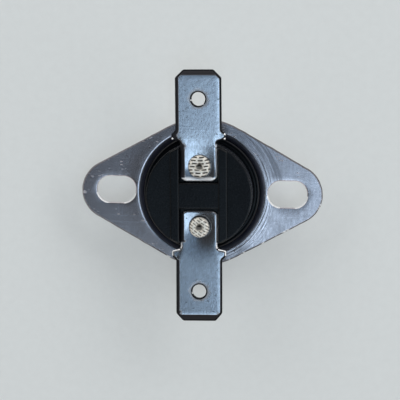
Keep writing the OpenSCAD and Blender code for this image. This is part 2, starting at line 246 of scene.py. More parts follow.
def sheet_net(loops, step, creases=()):
    """Points and triangles that fill the first loop and leave the others open.

    Rows of points set half a step apart fill the middle, no nearer to a loop or a crease than 0.7 step.
    A Delaunay net kept to the loops' edges joins them, and the triangles whose middle lies inside stay.
    """
    row_share, clear_share, weld = 0.866, 0.7, 1e-7
    low, high = loops[0].min(0), loops[0].max(0)
    gx, gy = np.meshgrid(np.arange(low[0], high[0], step), np.arange(low[1], high[1], step * row_share))
    gx = gx + (np.arange(len(gx)) % 2)[:, None] * step / 2
    grid = np.column_stack([gx.ravel(), gy.ravel()])
    rim = np.vstack(loops)
    fixed = np.vstack([rim, *creases])
    near = ((grid[:, None] - fixed[None]) ** 2).sum(2).min(1)
    grid = np.vstack([*creases, grid[inside(grid, loops) & (near > (clear_share * step) ** 2)]])
    points = np.vstack([rim, grid])
    starts = np.cumsum([0] + [len(loop) for loop in loops])
    edges = np.vstack([np.column_stack([np.arange(len(loop)), np.roll(np.arange(len(loop)), -1)]) + s
                       for loop, s in zip(loops, starts)])
    found, _, faces, *_ = delaunay_2d_cdt(points.tolist(), edges.tolist(), [], 0, weld)
    if len(found) != len(points):
        raise RuntimeError("the outline of a sheet crosses itself")
    faces = np.array(faces)
    corners = points[faces]
    area = np.cross(corners[:, 1] - corners[:, 0], corners[:, 2] - corners[:, 0])
    faces = np.where((area < 0)[:, None], faces[:, ::-1], faces)
    return grid, faces[inside(corners.mean(1), loops)]


def plate(shell, loops, rolls, top, bottom, step, creases=(), mark=None, side_mark=None):
    """Sheet with rolled edges; each loop is a function of its inset. Returns the faces' rows by loop.

    Sides run up from the height field bottom(x, y) through rows of (inset, drop below the top, worn) to
    the height field top(x, y), which carries mark(x, y); a roll of one row leaves the edge open. Sides
    carry side_mark(x, y, inset, worn), or else twice the worn. One net serves both faces.
    """
    mark = mark or (lambda x, y: 0.0)
    side_mark = side_mark or (lambda x, y, inset, edge_mark: 2 * edge_mark)
    uppers, lowers, flat = [], [], []
    for loop, roll in zip(loops, rolls):
        xy = loop(roll[0][0])
        low = shell.row(xy, bottom(*xy.T), roll[0][2])
        lowers.append(low)
        if len(roll) == 1:
            low = shell.row(xy, top(*xy.T))
        for inset, drop, edge_mark in roll[1:]:
            xy = loop(inset)
            high = shell.row(xy, top(*xy.T) - drop, side_mark(*xy.T, inset, edge_mark))
            shell.band(low, high)
            low = high
        uppers.append(low)
        flat.append(xy)
    grid, faces = sheet_net(flat, step, creases)
    middle = shell.row(grid, top(*grid.T), mark(*grid.T))
    shell.tris.append(np.concatenate([*uppers, middle])[faces])
    under = shell.row(grid, bottom(*grid.T))
    shell.tris.append(np.concatenate([*lowers, under])[faces][:, ::-1])
    return uppers, lowers


def rolled_edge(width, drop, edge_mark=0.0, reach=0.26, rows=7, start=0.0):
    """Rows of a punched edge: the arc of an ellipse, width in and drop down, worn up to the reach.

    The arc runs from the start angle, in degrees, to its top. The mark fades over the reach's second half; on
    metal it paints cut edges dark, partly painted shade, and on the moulding it only makes rims glossier.
    """
    a = np.linspace(math.radians(start), math.pi / 2, rows)
    inset = width * (1 - np.cos(a) / math.cos(a[0]))
    drops = drop * (1 - np.sin(a)) / (1 - math.sin(a[0]))
    return np.column_stack([inset, drops, edge_mark * np.clip(2 - 2 * inset / reach, 0, 1)])


def waves(x, y, seed, scale):
    """Gentle unevenness: the mean of five plane sine waves with fixed, spread-out directions."""
    golden_angle = 2.399
    k = np.arange(5)
    turn, shift = seed + golden_angle * k, 1.7 * seed + 3.1 * k
    size = (0.6 + 0.25 * k) / scale
    x, y = np.asarray(x)[..., None], np.asarray(y)[..., None]
    return np.sin((x * np.cos(turn) + y * np.sin(turn)) * size + shift).mean(-1)


def bow(r, z, radius, start, stop, rows):
    """Profile steps along an arc about (r, z), angles in degrees from the radial direction."""
    a = np.radians(np.linspace(start, stop, rows + 1)[1:])
    return np.column_stack([r + radius * np.cos(a), z + radius * np.sin(a)])


# Finishes


def fill(node, inputs):
    """Links or sets inputs of a node, given by name or number."""
    for key, value in inputs.items():
        if isinstance(value, bpy.types.NodeSocket):
            node.id_data.links.new(value, node.inputs[key])
        else:
            node.inputs[key].default_value = value


def put(tree, kind, inputs=None, **settings):
    """Adds a shader node, sets its options, and links or fills its inputs."""
    node = tree.nodes.new("ShaderNode" + kind)
    for key, value in settings.items():
        setattr(node, key, value)
    fill(node, inputs or {})
    return node


def blank(name):
    """A material with its node tree emptied down to one shader and its output."""
    material = bpy.data.materials.new(name)
    material.use_nodes = True
    tree = material.node_tree
    tree.nodes.clear()
    shader = put(tree, "BsdfPrincipled")
    put(tree, "OutputMaterial", {"Surface": shader.outputs["BSDF"]})
    return material, tree, shader


def maths(operation, *values, **settings):
    """One arithmetic node over sockets or numbers, in the tree of the first socket."""
    tree = next(v.id_data for v in values if isinstance(v, bpy.types.NodeSocket))
    return put(tree, "Math", dict(enumerate(values)), operation=operation, **settings).outputs[0]


def times(first, second):
    """The product of two sockets or numbers."""
    return maths("MULTIPLY", first, second)


def spread(tree, scale, detail=4.0, stretch=(1, 1, 1), roughness=0.6, turn=0.0):
    """Noise on Object coordinates; scale counts features per metre, stretch draws it into streaks."""
    where = put(tree, "TexCoord").outputs["Object"]
    where = put(tree, "Mapping", {"Vector": where, "Scale": stretch, "Rotation": (0, 0, turn)}).outputs[0]
    return put(tree, "TexNoise", {"Vector": where, "Scale": scale, "Detail": detail,
                                  "Roughness": roughness}).outputs["Fac"]


def ramp(value, *stops):
    """Colour ramp with (place, colour or grey level) stops."""
    node = put(value.id_data, "ValToRGB", {"Fac": value})
    band = node.color_ramp
    while len(band.elements) < len(stops):
        band.elements.new(0.5)
    for element, (place, colour) in zip(band.elements, stops):
        rgb = (colour,) * 3 if isinstance(colour, (int, float)) else tuple(colour)[:3]
        element.position, element.color = place, (*rgb, 1.0)
    return node.outputs["Color"]


def zone(place, span, *stops):
    """Level along a place in millimetres, by (millimetres, level) stops that lie from 0 to the span."""
    return ramp(times(place, 1 / span), *((mm / span, level) for mm, level in stops))


def mix(share, first, second):
    """Colour blend between two sockets or colours, which are the node's inputs 6 and 7."""
    first, second = (c if isinstance(c, bpy.types.NodeSocket) else (*tuple(c)[:3], 1.0)
                     for c in (first, second))
    return put(share.id_data, "Mix", {0: share, 6: first, 7: second}, data_type="RGBA").outputs[2]


def bump(layers):
    """Chain of bumps, each a (height, strength, distance in metres)."""
    inputs = {}
    for height, strength, distance in layers:
        inputs.update(Height=height, Strength=strength, Distance=distance)
        inputs["Normal"] = put(height.id_data, "Bump", inputs).outputs["Normal"]
    return inputs["Normal"]


def shade(colour, factor):
    """A colour made lighter or darker."""
    return tuple(min(1.0, c * factor) for c in colour)


def marked(tree, sign=1.0, past=0.0):
    """The mark carried by the piece's points, times the sign and past a level, clamped to 0 to 1."""
    mark = put(tree, "Attribute", attribute_name="mark").outputs["Fac"]
    return maths("MULTIPLY_ADD", mark, sign, -past, use_clamp=True)


def places(tree):
    """Where a point is in millimetres: across (X), along (Y), height (Z) and reach from the Z axis."""
    axes = put(tree, "SeparateXYZ", {"Vector": put(tree, "TexCoord").outputs["Object"]}).outputs
    across, along, height = (times(axis, 1 / MM) for axis in axes)
    return across, along, height, maths("SQRT", maths("MULTIPLY_ADD", across, across, times(along, along)))


def scratches(tree, turn, density=0.64):
    """Thin lines along one direction: noise drawn out forty times, kept only near its peaks."""
    lines = spread(tree, 2600, 2, (0.025, 1, 1), 0.5, turn)
    return ramp(lines, (density, 0.0), (density + 0.05, 1.0))


def metal(name, colour, rough, brush=(1, 0.1, 1), blotch=0.2):
    """Rolled strip metal: streaks along one direction, cloudy wear and fine pits.

    Streaks are noise drawn out by brush. Clouds darken the colour by up to the blotch and roughen it.
    """
    grain = 0.35
    material, tree, shader = blank(name)
    clouds = spread(tree, 420, 6, roughness=0.62)
    streaks = spread(tree, 900, 4, brush)
    pits = spread(tree, 5200, 3)
    half = times(maths("ADD", clouds, streaks), 0.5)
    tone = ramp(half, (0.30, shade(colour, 1 - blotch)), (0.52, colour), (0.72, shade(colour, 1.12)))
    dull = ramp(half, (0.30, min(1, rough * 1.35)), (0.68, rough * 0.8))
    normal = bump([(streaks, grain, 0.00002), (pits, grain * 0.8, 0.00001), (clouds, grain, 0.00003)])
    fill(shader, {"Base Color": tone, "Roughness": dull, "Metallic": 1.0, "Normal": normal})
    return material


def plated(name, colour):
    """Dull plating on punched sheet: cloudy tarnish, fine hairlines and small dark pits.

    Marks make dark cut edges, partly dull cut metal and partly painted shade, painted black shade past 1, and
    painted white glints below 0.
    """
    cut_edge_and_shade, painted_black_shade, glint_matte = (0.026, 0.025, 0.028), (0.004, 0.005, 0.007), 0.7
    material, tree, shader = blank(name)
    clouds = spread(tree, 1900, 6, roughness=0.65)
    streaks = spread(tree, 5600, 3, (1, 0.25, 1), turn=-0.6)
    pits = ramp(spread(tree, 2300, 3, roughness=0.5), (0.65, 0.0), (0.70, 1.0))
    lines = scratches(tree, 1.15)
    half = times(maths("ADD", clouds, streaks), 0.5)
    tone = ramp(half, (0.40, shade(colour, 0.85)), (0.50, colour), (0.60, shade(colour, 1.13)))
    tone = mix(times(pits, 0.7), tone, shade(colour, 0.25))
    edge, painted_glint = marked(tree), marked(tree, -1.0)
    # Painted shade: cut edges, the bevel and the dark sides are painted dark, partly dull cut metal.
    tone = mix(edge, tone, cut_edge_and_shade)
    # Painted shade: marks past 1 paint shaded edge walls and sides black.
    tone = mix(marked(tree, 1.0, 1.0), tone, painted_black_shade)
    # Painted highlight: marks below 0 are glints painted white.
    tone = mix(painted_glint, tone, PAINTED_GLINT_WHITE)
    dull = maths("ADD", ramp(half, (0.30, 0.25), (0.68, 0.16)), times(edge, 0.25))
    dull = maths("SUBTRACT", dull, times(lines, 0.05))
    matte = maths("MAXIMUM", edge, times(painted_glint, glint_matte))
    normal = bump([(clouds, 0.3, 0.000016), (streaks, 0.3, 0.00001), (lines, 0.2, 0.000006),
                   (pits, -0.4, 0.00001)])
    fill(shader, {"Base Color": tone, "Roughness": dull, "Specular IOR Level": 0.1, "Normal": normal,
                  "Metallic": maths("SUBTRACT", 1.0, matte)})
    return material


def drawn(name, colour):
    """Drawn aluminium: cloudy sheen, hairlines in two directions, short strokes and small dents.

    Marks make dark cut edges, partly dull cut metal and partly painted shade darker on the right; chips on
    the low side are painted white highlights, and marks below 0 white glints. The throat is painted dark as
    shade, spun rings lie round it at the right, and the waist beside the terminals gets painted shade.
    """
    painted_throat_shade, glint_matte, edge_share = (0.24, 0.26, 0.36), 0.7, 0.92
    material, tree, shader = blank(name)
    across, along, height, reach = places(tree)
    right = zone(across, 10, (2.0, 0.0), (6.0, 1.0))
    low = zone(along, 10, (0.0, 1.0), (2.0, 0.0))
    clouds = spread(tree, 300, 6, roughness=0.62)
    grain = spread(tree, 2600, 4, roughness=0.7)
    strokes = spread(tree, 3000, 3, (1, 0.16, 1), turn=0.12)
    lines = maths("MAXIMUM", scratches(tree, -0.55), scratches(tree, 0.9, 0.66))
    nicks = ramp(spread(tree, 1300, 3), (0.60, 0.0), (0.64, 1.0))
    dents = times(ramp(spread(tree, 4200, 2, (0.3, 1, 1), 0.5, 0.8), (0.66, 0.0), (0.70, 1.0)),
                  ramp(spread(tree, 520, 2), (0.50, 0.0), (0.58, 1.0)))
    turned = put(tree, "CombineXYZ", {"X": times(reach, 2.6),
                                      "Y": maths("ARCTAN2", along, across)}).outputs[0]
    rings = put(tree, "TexNoise", {"Vector": turned, "Scale": 1.3, "Detail": 2.0}).outputs["Fac"]

    half = maths("ADD", times(clouds, 0.45), times(maths("ADD", grain, strokes), 0.275))
    tone = ramp(half, (0.40, shade(colour, 0.78)), (0.50, colour), (0.60, shade(colour, 1.22)))
    tone = mix(times(lines, 0.35), tone, shade(colour, 1.3))
    waist = zone(maths("ABSOLUTE", across), 10, (5.5, 1.0), (7.2, 0.0))
    # Painted shade: the flange beside the terminals is darkened where the tabs above hide the light, more low
    # and right.
    painted_tab_shade = times(waist, maths("MULTIPLY_ADD", low, 0.36, times(right, 0.4)))
    tone = mix(painted_tab_shade, tone, shade(colour, 0.3))
    upper = maths("SUBTRACT", 1.0, times(low, 0.7))
    spun = times(zone(reach, 20, (9.1, 0.0), (9.8, 1.0), (11.0, 1.0), (11.8, 0.0)), times(right, upper))
    arcs = ramp(rings, (0.44, 0.0), (0.58, 0.75))
    tone = mix(times(arcs, spun), tone, shade(colour, 0.4))
    # Painted shade: the throat's wall is painted dark bluish where it mirrors the black base.
    throat = times(zone(reach, 20, (8.5, 1.0), (8.76, 0.0)), zone(height, 10, (4.2, 0.0), (4.4, 1.0)))
    tone = mix(throat, tone, painted_throat_shade)
    edge = marked(tree)
    # Cut edges: dull cut metal and painted shade, painted darker on the right.
    cut = times(edge, edge_share)
    tone = mix(cut, tone, mix(right, shade(colour, 0.22), shade(colour, 0.08)))
    # Painted highlights: chips on the low side, and marks below 0, are painted white.
    chip_highlights = times(edge, times(nicks, low))
    painted_glint = maths("MAXIMUM", chip_highlights, marked(tree, -1.0))
    tone = mix(painted_glint, tone, PAINTED_GLINT_WHITE)

    dull = maths("ADD", ramp(half, (0.34, 0.27), (0.66, 0.17)), times(dents, 0.3))
    dull = maths("MULTIPLY_ADD", throat, 0.3, dull)
    matte = maths("MULTIPLY_ADD", maths("SUBTRACT", glint_matte, cut), painted_glint, cut)
    near = times(zone(reach, 20, (8.8, 0.0), (9.1, 1.0), (9.8, 0.6), (10.6, 0.0)), times(clouds, right))
    normal = bump([(clouds, 0.2, 0.00004), (grain, 0.2, 0.000008), (lines, 0.12, 0.000008),
                   (dents, 0.5, 0.00002), (nicks, chip_highlights, 0.00004), (rings, near, 0.00013)])
    fill(shader, {"Base Color": tone, "Roughness": dull, "Specular IOR Level": 0.1, "Normal": normal,
                  "Metallic": maths("SUBTRACT", 1.0, matte)})
    return material


def grooved(name, colour):
    """Warm plating on a pressed head: bright lands, grooves painted dark and a dimple painted dark as shade.
    """
    groove_dark_and_shade = (0.020, 0.018, 0.015)
    material, tree, shader = blank(name)
    clouds = spread(tree, 1800, 5)
    grain = spread(tree, 7000, 3)
    tone = ramp(clouds, (0.32, shade(colour, 0.75)), (0.55, colour), (0.7, shade(colour, 1.1)))
    # Marked grooves are painted dark; the marked dimple and head wall get painted shade.
    tone = mix(marked(tree), tone, groove_dark_and_shade)
    dull = ramp(grain, (0.3, 0.5), (0.7, 0.36))
    normal = bump([(clouds, 0.4, 0.00002), (grain, 0.4, 0.000008)])
    fill(shader, {"Base Color": tone, "Roughness": dull, "Metallic": 0.65, "Specular IOR Level": 0.2,
                  "Normal": normal})
    return material


def moulding(name, colour, rough):
    """Moulded or fired body: fine grain, slightly cloudy colour and gloss; marked rims are glossier."""
    material, tree, shader = blank(name)
    clouds = spread(tree, 600, 5)
    grain = spread(tree, 4200, 3)
    tone = ramp(clouds, (0.35, shade(colour, 0.8)), (0.65, shade(colour, 1.35)))
    dull = ramp(grain, (0.3, rough * 0.8), (0.7, rough * 1.25))
    plain = maths("SUBTRACT", 1.0, times(marked(tree), 0.5))
    normal = bump([(grain, 0.25, 0.00001), (clouds, 0.25, 0.00003)])
    fill(shader, {"Base Color": tone, "Roughness": times(dull, plain),
                  "Specular IOR Level": 0.27, "Normal": normal})
    return material


# Pieces


class SWITCH_OT_cup(bpy.types.Operator):
    """Drawn cup with its slotted flange: a rolled-edge plate with a throat and a cup turned under it"""
    bl_idname = "switch.cup"
    bl_label = "Flanged cup"

    def execute(self, context):
        size, colour = context.scene.switch_sizes, context.scene.switch_colours
        roll, sheet = size.flange_roll / MM, 0.5
        rhombus = [(21.20, 0, 4.15), (0, 11.636, 10.2), (-21.20, 0, 4.15), (0, -11.636, 10.2)]
        slot_x, left_slot = 11.9, (-11.92, 0.09)
        hx, hy, rc = 2.70, 1.84, size.slot_corner / MM
        slot_box = np.array([(-hx, -hy, rc), (-hx, hy, rc), (hx, hy, rc), (hx, -hy, rc)])
        throat_r, throat_x, around = 8.93, -0.05, 240

        def rim(inset):
            """The flange's outline, made slightly uneven by waves."""
            xy = outline(rhombus, inset, 40, 40)
            wobble = 0.035 * waves(*xy.T, 0.7, 0.25) + 0.03 * waves(*xy.T, 2.1, 0.9)
            return xy * (1 - wobble / np.linalg.norm(xy, axis=1))[:, None]

        def slot_rim(x, y):
            return lambda inset: outline(slot_box + [x, y, 0], inset, 14, 8)

        def throat_rim(inset):
            return circle(throat_x, 0, throat_r + inset, around, True)

        def top(x, y):
            """Flat, but for one ear's sag, a low crown round the throat and slight waves."""
            r = np.hypot(x, y)
            ear = np.clip((np.abs(x) - 2) / 14.7, 0, 1)
            sag = np.where(x < 0, size.ear_sag / MM, 0.0) * ear ** 1.2
            crown = 0.05 * np.clip(1 - (r - throat_r) / 3, 0, 1) ** 2
            return CUP_TOP + crown - sag + 0.012 * waves(x, y, 0.3, 2.6) * np.clip(r - 9, 0, 1)

        def bottom(x, y):
            return top(x, y) - sheet

        def side_mark(x, y, inset, edge_mark):
            """Edges keep their rows' marks, cut edges painted dark as partly painted shade, but the lower
            corners of the slots get painted glints.
            """
            across = np.abs(np.abs(x) - slot_x)
            bright = (across > 1.0) & (across < 2.95) & (y < -0.3) & (y > -2.1) & (inset < 0.14)
            return np.where(bright, -1.0, edge_mark)

        # The flange's outer edge rows carry mark 1: its cut edge is painted dark, partly painted shade.
        edge = np.vstack([[(0.05, sheet, 1), (0.0, sheet - 0.06, 1)],
                          rolled_edge(roll, roll * 0.5, 1.0, 0.2, 7, 30), [(roll + 0.08, 0, 0)]])
        hole = np.vstack([[(0.02, sheet, 0), (0.0, sheet - 0.05, 0)], rolled_edge(0.17, 0.12)])
        shell = Shell()
        uppers, lowers = plate(shell, [rim, slot_rim(slot_x, 0.0), slot_rim(*left_slot), throat_rim],
                               [edge, hole, hole, [(0, 0, 0)]], top, bottom, 0.55, side_mark=side_mark)

        bore, floor_r, floor_z, corner = 7.6, 6.6, 1.5, 1.0
        inner = np.vstack([bow(throat_r, CUP_TOP - 0.75, 0.75, 90, 132, 14),
                           [(8.12, 4.52), (7.92, 4.2), (7.75, 3.77), (7.64, 3.5), (bore, 3.2)],
                           [(bore, floor_z)], bow(floor_r, floor_z, corner, 0, -90, 6)])
        outer = np.vstack([bow(throat_r, CUP_TOP - 1.3, 0.8, 90, 180, 8), [(bore + sheet, floor_z)],
                           bow(floor_r, floor_z, corner + sheet, 0, -90, 8)])
        uneven = top(*throat_rim(0).T) - CUP_TOP
        row = uppers[-1]
        for r, z in inner:
            near = np.clip((r - bore) / 0.8, 0, 1)
            row = shell.lathe(row, [(r, z + near * uneven)], (throat_x * near, 0), clockwise=True, flip=True)
        shell.cap(row[::-1], sheet, True)
        row = shell.lathe(lowers[-1], outer, clockwise=True)
        shell.cap(row[::-1], 0.0, False)
        finish = drawn("drawn_aluminium", colour.aluminium)
        shell.piece("cup_shell", finish, ["flanged_cup"])
        return {"FINISHED"}


class SWITCH_OT_base(bpy.types.Operator):
    """Moulded base: a turned body with a hollow under it, two D faces, two rails and the bridge between"""
    bl_idname = "switch.base"
    bl_label = "Moulded base"

    def execute(self, context):
        size, colour = context.scene.switch_sizes, context.scene.switch_colours
        soft = size.base_round / MM
        floor_z, d_top, ceiling = TAB_TOP - TAB_THICK, TAB_TOP + 0.1, 7.2
        radius, half, lower, upper = 7.2, 2.7, 1.77, 1.66
        shell = Shell()
        skirt, hollow = 7.52, 6.4
        wall = np.vstack([[(radius, floor_z - 0.1), (7.24, 5.2), (7.34, 4.96), (7.58, 4.96)],
                          bow(7.8, 5.02, 0.26, 160, -10, 10), [(7.9, 4.8), (skirt, 3.9)],
                          [(skirt, BASE_LOW), (hollow, BASE_LOW), (hollow, ceiling)]])
        glossy = np.where((wall[:, 0] > 7.59) & (wall[:, 1] > 4.9), 1.0, 0.0)
        row = shell.row(circle(0, 0, radius - 0.05, 192), floor_z)
        shell.cap(row, floor_z, True)
        shell.cap(shell.lathe(row, wall, marks=glossy, flip=True), ceiling, False)

        sides = np.vstack([[(-0.12, 1.2, 0), (-0.06, 0.5, 0), (0.0, soft, 0.3)],
                           rolled_edge(soft, soft, 1.0, rows=5)[1:], [(soft + 0.05, 0, 0)]])
        upright = sides * np.where(sides[:, :1] < 0, [[0, 1, 1]], [[1, 1, 1]])
        faces = self.double_d(radius, half, lower, upper)
        plate(shell, [lambda inset: outline(faces, inset, 7, 6)], [upright],
              lambda x, y: d_top + 0.0016 * x ** 2 + 0.006 * waves(x, y, 1.3, 2.0),
              lambda x, y: floor_z - 0.3, 0.6)

        rail_out, rail_r, bridge_drop, overlap = 3.9, 7.1, 0.15, 0.2
        y1, y0 = math.sqrt(rail_r ** 2 - rail_out ** 2), math.sqrt(rail_r ** 2 - half ** 2)
        strip = np.array([(half, -y0, 0.15), (rail_out, -y1, 0.15), (rail_out, y1, 0.15), (half, y0, 0.15)])
        for turned in (1, -1):
            rail = strip * [turned, turned, 1]
            plate(shell, [lambda inset: outline(rail, inset, 6, 16)], [sides],
                  lambda x, y: RAIL_TOP + 0.01 * waves(x, y, 0.9, 1.5), lambda x, y: d_top - 0.3, 0.5)
        bar_x = half + overlap
        bar = [(-bar_x, -lower, 0.1), (bar_x, -lower, 0.1), (bar_x, upper, 0.1), (-bar_x, upper, 0.1)]
        plate(shell, [lambda inset: outline(bar, inset, 6, 16)], [sides],
              lambda x, y: RAIL_TOP - bridge_drop + 0.005 * waves(x, y, 0.9, 1.5),
              lambda x, y: floor_z - 0.3, 0.5)
        finish = moulding("black_moulding", colour.phenolic, 0.24)
        shell.piece("base_moulding", finish, ["base"], turn=BASE_TURN)
        return {"FINISHED"}

    def double_d(self, radius, half, lower, upper):
        """Corners of two D faces joined by the bridge; five tangents with round corners make each arc."""
        parts = 5
        reach = math.sqrt(radius ** 2 - half ** 2)
        open_angle = math.atan2(reach, half)
        step = 2 * open_angle / parts
        mids = -open_angle + step * (np.arange(parts) + 0.5)
        arc = np.column_stack([np.cos(mids), np.sin(mids)]) * radius / math.cos(step / 2)
        arc = np.column_stack([arc, np.full(parts, 0.8 * radius)])
        right = np.vstack([[(half, -reach, 0.2)], arc, [(half, reach, 0.2), (half, upper, 0.12)]])
        left = right * [-1, -1, 1]
        return np.vstack([right, [(-half, upper, 0.12)], left[:-1],
                          [(-half, -lower, 0.12), (half, -lower, 0.12)]])


# Terminals: spots are painted highlights, and past the left and right lines the plating gets painted shade.
TABS = (
    dict(name="terminal_a", turn=0.0, hand=1, inner=1.98, end=17.15, bevel=0.75, nip=1.1, hole=13.15,
         lift=0.036, curl=0.0006, lean=-0.014, pressed=1.0, dish=(0.1, 3.6),
         spots=((-3.57, 7.76), (3.6, 8.36), (3.58, 7.72), (-0.87, 13.0), (0.62, 12.54)),
         left=((6.7, 7.28, 8.0, 8.5, 8.7), (-1.9, -2.28, -3.02, -2.89, -2.66)),
         right=((7.0, 7.1, 7.55, 8.12, 8.78, 8.9), (3.0, 2.42, 2.77, 3.59, 3.11, 2.92))),
    dict(name="terminal_b", turn=math.pi, hand=-1, inner=2.14, end=17.32, bevel=0.92, nip=0.92, hole=13.2,
         lift=0.012, curl=0.0014, lean=0.008, pressed=1.85, dish=(0.35, 4.15), spots=((0.87, 13.4),),
         left=((6.3, 6.9, 8.5, 8.9), (-2.05, -4.0, -4.0, -2.66)), right=((8.5, 8.9), (4.0, 2.86))),
)


class SWITCH_OT_terminals(bpy.types.Operator):
    """The two punched terminals: rolled edges, bevelled ends, a small hole and stop ears"""
    bl_idname = "switch.terminals"
    bl_label = "Terminals"

    def execute(self, context):
        finish = plated("dull_plating", context.scene.switch_colours.plate)
        for tab in TABS:
            self.terminal(context.scene.switch_sizes, finish, **tab)
        return {"FINISHED"}

    def terminal(self, size, finish, name, turn, hand, inner, end, bevel, nip, hole, lift, curl, lean,
                 pressed, dish, spots, left, right):
        """One terminal, a plate whose top is a height field; Y runs out along it, widths are half widths.

        Hand is 1 where X points to the right ear, else -1. Nip is cut off the end's corners, lift and curl
        raise the tab, lean tilts it. Beyond the lines left and right, (all y, all x), the plating is painted
        dark as painted shade.
        """
        roll, drop = size.tab_roll / MM, size.tab_roll_drop / MM
        neck, ear, wide, corner_cut, hole_r = 2.5, 3.7, 3.15, 1.1, 0.95
        bend_y, spots = end - bevel, np.array(spots)
        half = np.array([(1.8, inner, 0.8), (neck, inner + 0.4, 0.5), (neck, 7.35, 0.4), (ear, 7.62, 0.22),
                         (ear, 8.4, 0.22), (wide, 8.85, 0.4), (wide, end - corner_cut, 0.45),
                         (wide - nip, end, 0.45)])
        corners = np.vstack([half, half[::-1] * [-1, 1, 1]])
        fold = np.linspace(-2.3, 2.3, 32)
        creases = [np.column_stack([fold, 0 * fold + bend_y + d]) for d in (-0.15, -0.03, 0.03)]
        for low, high in ((inner + 1, 6.2), (9.0, bend_y - 0.6)):
            run = np.arange(low, high, 0.18)
            bound = np.interp(run, *left)
            creases += [np.column_stack([hand * (bound + d), run]) for d in (-0.05, 0.05)]

        def slope(y):
            """Fall of the bevelled end at 22 degrees, with a rounded bend."""
            rounded = np.clip(y - bend_y + 0.15, 0, 0.15)
            return math.tan(math.radians(22)) * np.clip(y - bend_y, 0, bevel) + 0.4 * rounded ** 2

        def glint(x, y):
            """Where painted highlights go: bright lines on the neck and the inner end or the stop ears, and
            the spots.
            """
            line, out = (hand * x > neck - 0.2) & (y < 6.3), np.abs(x)
            if hand > 0:
                line = line | (y < inner + 0.45)
            else:
                line = line | ((out > 2.62) & (y < 7.49 + 0.225 * (out - neck)) & (y > 7))
                line = line | ((out > 3.57) & (y < 8.3)) | ((out > neck - 0.13) & (y > 6.8) & (y < 7.3))
            away = np.hypot(*(np.subtract.outer(p, s) for p, s in zip((x, y), spots.T)))
            return line | (away < 0.15).any(-1)

        def mark(x, y):
            """Painted glints, or else painted shade: the dark bevel, the cut corners and the dark sides."""
            corner = 0.33 - (wide + end - corner_cut - np.abs(x) - y) / math.sqrt(2)
            sharp = np.clip(np.maximum(y - bend_y, corner) / 0.06 + 0.5, 0, 1)
            past_shade_line = np.maximum(np.interp(y, *left) - hand * x, hand * x - np.interp(y, *right))
            return np.where(glint(x, y), -1.0, np.maximum(sharp, np.clip(past_shade_line / 0.1 + 0.5, 0, 1.4)))

        def side_mark(x, y, inset, edge_mark):
            """Cut edges are painted black as shade on the tab and fade on the neck; an edge mark above 1
            hides glints.
            """
            level = mark(x, y)
            cut = 2 * min(edge_mark, 1) * np.clip((y - 6.9) / 0.3, 0.04, 1)
            return np.where((level < 0) & (edge_mark <= 1), level, np.maximum(cut, level))

        def raised(x, y):
            """Rise along the tab, its lean, and the bent-up inner end where hand is 1."""
            out = np.clip(y - 6.7, 0, None)
            back = np.clip(3.75 - y, 0, None) * (hand > 0)
            tipped = 0.15 * np.where(back < 0.6, back ** 2 / 1.2, back - 0.3)
            return lift * out + curl * out ** 2 + np.clip(y - 5, 0, 3) / 3 * x * lean + tipped

        def top(x, y):
            """Raised sheet less the bevel, a bell-shaped dish and the droop of the sides."""
            bell = np.exp(-((x - dish[0]) / 2.4) ** 2 - ((y - dish[1]) / 2.45) ** 2)
            widened = np.clip((y - 7.4) / 1.2, 0, 1)
            side, soft = neck + (wide - neck) * widened, 0.32 + 0.13 * widened
            droop = 0.078 / soft * np.clip(np.abs(x) - side + soft, 0, soft) ** 2
            sunk = slope(y) + pressed * size.rivet_dish / MM * bell + droop
            return TAB_TOP + raised(x, y) - sunk + 0.005 * waves(x, y, 0.4 + turn, 1.8)

        def bottom(x, y):
            return TAB_TOP - TAB_THICK + raised(x, y) + slope(y)

        # Side walls and the hole's rim carry edge marks: cut edges painted dark and black, painted shade on
        # their walls.
        side = np.vstack([[(0.03, TAB_THICK, 1), (0.0, drop + 0.1, 2)],
                          rolled_edge(roll, drop, 1.0, 0.3, 9, 40)])
        rim = np.vstack([[(0.0, TAB_THICK, 1)], rolled_edge(0.2, 0.1, 1.0, 0.23, 6, 40)])
        shell = Shell()
        plate(shell, [lambda inset: outline(corners, inset, 9, 16),
                      lambda inset: circle(0, hole, hole_r + inset, 56, True)],
              [side, rim], top, bottom, 0.36, creases, mark, side_mark)
        shell.piece(name.replace("terminal", "tab"), finish, [name], turn=turn + BASE_TURN)


